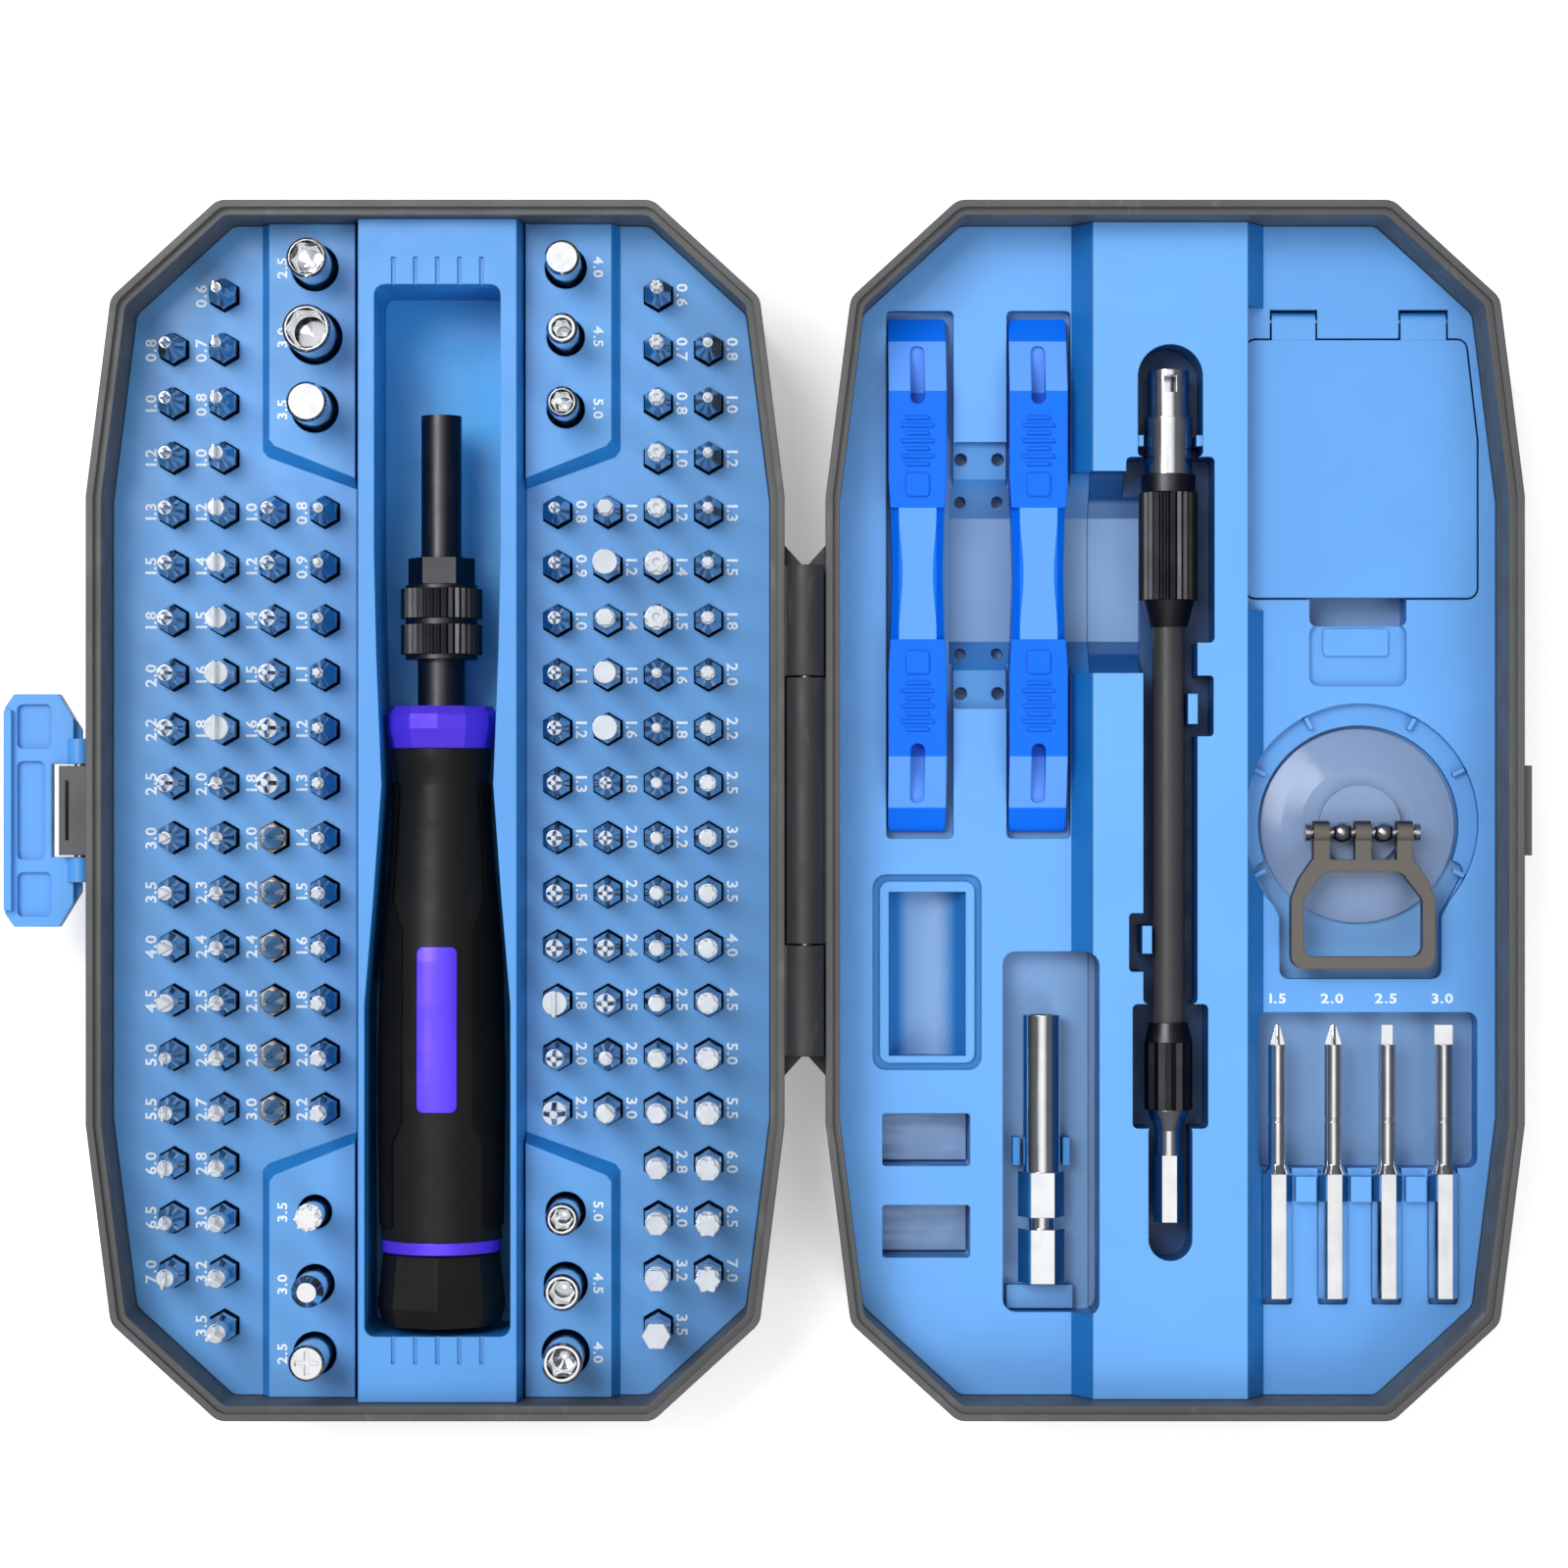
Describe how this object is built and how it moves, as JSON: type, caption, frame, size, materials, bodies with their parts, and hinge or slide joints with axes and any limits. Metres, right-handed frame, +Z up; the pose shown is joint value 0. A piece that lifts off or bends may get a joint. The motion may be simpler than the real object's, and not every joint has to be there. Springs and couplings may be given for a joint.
{
  "type": "precision screwdriver set",
  "caption": "Folding hinged case open flat, with hex bits standing in rows beside a driver, and pry tools, extension rod, suction cup and long bits in the lid.",
  "frame": {"origin": "middle of the open case's bounding box, on the surface that it lies on", "axes": "+X from the bit half to the accessory half, +Y along the case hinge, +Z up"},
  "size_m": [0.2354, 0.187, 0.03],
  "materials": {
    "shell_plastic": "fine-grained",
    "tray_plastic": "satin",
    "latch_plastic": "satin",
    "hinge_plastic": "matte",
    "pin_steel": "polished",
    "bit_steel": "satin",
    "socket_chrome": "polished",
    "magnet_steel": "ground",
    "handle_plastic": "satin",
    "handle_rubber": "soft-touch",
    "indigo_metal": "anodised",
    "black_steel": "blackened",
    "rod_rubber": "satin",
    "pry_plastic": "satin",
    "cup_rubber": "translucent",
    "loop_plastic": "satin"
  },
  "bodies": {
    "base": {"base_shell": "shell_plastic", "driver_cradle": "tray_plastic", "bit_rack_left": "tray_plastic", "bit_rack_right": "tray_plastic", "base_hinge_leaf": "hinge_plastic", "hinge_pin": "pin_steel", "latch_bracket": "shell_plastic", "latch_pin": "pin_steel", "bits_a": "bit_steel", "bits_b": "bit_steel", "bits_c": "bit_steel", "bits_d": "bit_steel", "bits_e": "bit_steel", "bits_f": "bit_steel", "bits_g": "bit_steel", "bits_h": "bit_steel", "nuts_top_left": "socket_chrome", "nuts_top_right": "socket_chrome", "nuts_bottom_left": "socket_chrome", "nuts_bottom_right": "socket_chrome"},
    "lid": {"lid_shell": "shell_plastic", "lid_tray_left": "tray_plastic", "lid_strip": "tray_plastic", "lid_tray_right": "tray_plastic", "lid_hinge_leaf": "hinge_plastic", "lid_catch": "shell_plastic", "magnet_plates": "magnet_steel", "door_pin": "pin_steel"},
    "latch": {"latch_clip": "latch_plastic"},
    "door": {"accessories_door": "tray_plastic"},
    "driver": {"driver_core": "handle_plastic", "driver_grip": "handle_rubber", "driver_inlay": "indigo_metal", "driver_ring": "indigo_metal", "driver_band": "indigo_metal", "driver_shaft": "black_steel"},
    "sleeve": {"driver_sleeve": "black_steel"},
    "cap": {"driver_cap": "handle_plastic"},
    "rod": {"rod_holder": "socket_chrome", "rod_collar": "black_steel", "rod_grip": "black_steel", "rod_shaft": "rod_rubber", "rod_ferrule": "black_steel", "rod_tip": "bit_steel"},
    "pry_left": {"pry_tool_left": "pry_plastic"},
    "pry_right": {"pry_tool_right": "pry_plastic"},
    "cup": {"cup_disc": "cup_rubber", "cup_stud": "cup_rubber", "cup_pin": "pin_steel"},
    "loop": {"cup_handle": "loop_plastic"},
    "adapter": {"bit_adapter": "bit_steel"},
    "long_1": {"long_bit_1": "bit_steel"},
    "long_2": {"long_bit_2": "bit_steel"},
    "long_3": {"long_bit_3": "bit_steel"},
    "long_4": {"long_bit_4": "bit_steel"}
  },
  "joints": [
    {"name": "lid_hinge", "type": "hinge", "parent": "base", "child": "lid", "pos_m": [0.0061, 0, 0.02715], "axis": [0, -1, 0], "range_deg": [0, 180]},
    {"name": "latch_hinge", "type": "hinge", "parent": "base", "child": "latch", "pos_m": [-0.10615, 0, 0.02], "axis": [0, 1, 0], "range_deg": [0, 90]},
    {"name": "door_hinge", "type": "hinge", "parent": "lid", "child": "door", "pos_m": [0.09275, 0.0764, 0.0137], "axis": [1, 0, 0], "range_deg": [-85, 0]},
    {"name": "driver_lift", "type": "slide", "parent": "base", "child": "driver", "axis": [0, 0, -1], "range_m": [-0.04, 0]},
    {"name": "sleeve_slide", "type": "slide", "parent": "driver", "child": "sleeve", "axis": [0, 1, 0], "range_m": [-0.003, 0]},
    {"name": "cap_spin", "type": "hinge", "parent": "driver", "child": "cap", "pos_m": [-0.05055, -0.0743, 0.015], "axis": [0, 1, 0], "continuous": true},
    {"name": "rod_lift", "type": "slide", "parent": "lid", "child": "rod", "axis": [0, 0, -1], "range_m": [-0.03, 0]},
    {"name": "pry_left_lift", "type": "slide", "parent": "lid", "child": "pry_left", "axis": [0, 0, -1], "range_m": [-0.025, 0]},
    {"name": "pry_right_lift", "type": "slide", "parent": "lid", "child": "pry_right", "axis": [0, 0, -1], "range_m": [-0.025, 0]},
    {"name": "cup_lift", "type": "slide", "parent": "lid", "child": "cup", "axis": [0, 0, -1], "range_m": [-0.025, 0]},
    {"name": "loop_hinge", "type": "hinge", "parent": "cup", "child": "loop", "pos_m": [0.09275, -0.0034, 0.0178], "axis": [1, 0, 0], "range_deg": [-110, 0]},
    {"name": "adapter_lift", "type": "slide", "parent": "lid", "child": "adapter", "axis": [0, 0, -1], "range_m": [-0.025, 0]},
    {"name": "long_1_lift", "type": "slide", "parent": "lid", "child": "long_1", "axis": [0, 0, -1], "range_m": [-0.025, 0]},
    {"name": "long_2_lift", "type": "slide", "parent": "lid", "child": "long_2", "axis": [0, 0, -1], "range_m": [-0.025, 0]},
    {"name": "long_3_lift", "type": "slide", "parent": "lid", "child": "long_3", "axis": [0, 0, -1], "range_m": [-0.025, 0]},
    {"name": "long_4_lift", "type": "slide", "parent": "lid", "child": "long_4", "axis": [0, 0, -1], "range_m": [-0.025, 0]}
  ]
}
